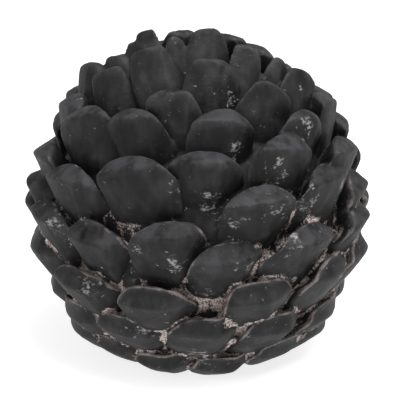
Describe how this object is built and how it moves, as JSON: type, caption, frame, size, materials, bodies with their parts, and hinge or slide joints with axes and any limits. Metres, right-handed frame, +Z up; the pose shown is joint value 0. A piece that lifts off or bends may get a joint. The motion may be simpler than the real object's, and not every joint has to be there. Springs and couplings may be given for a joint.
{
  "type": "pinecone finial",
  "caption": "Ball-shaped pinecone finial of thick overlapping scales, cast in one piece and cut flat underneath so that it stands by its own weight.",
  "frame": {"origin": "middle of the flat underside", "axes": "+Z up through the crown of the cone, -Y towards the side that the picture shows, +X to its right"},
  "size_m": [0.1459, 0.1449, 0.1432],
  "materials": {
    "painted_cement": "matt black paint on cast cement, with pale residue in the crevices"
  },
  "bodies": {
    "root": {"pinecone": "painted_cement"}
  },
  "joints": []
}
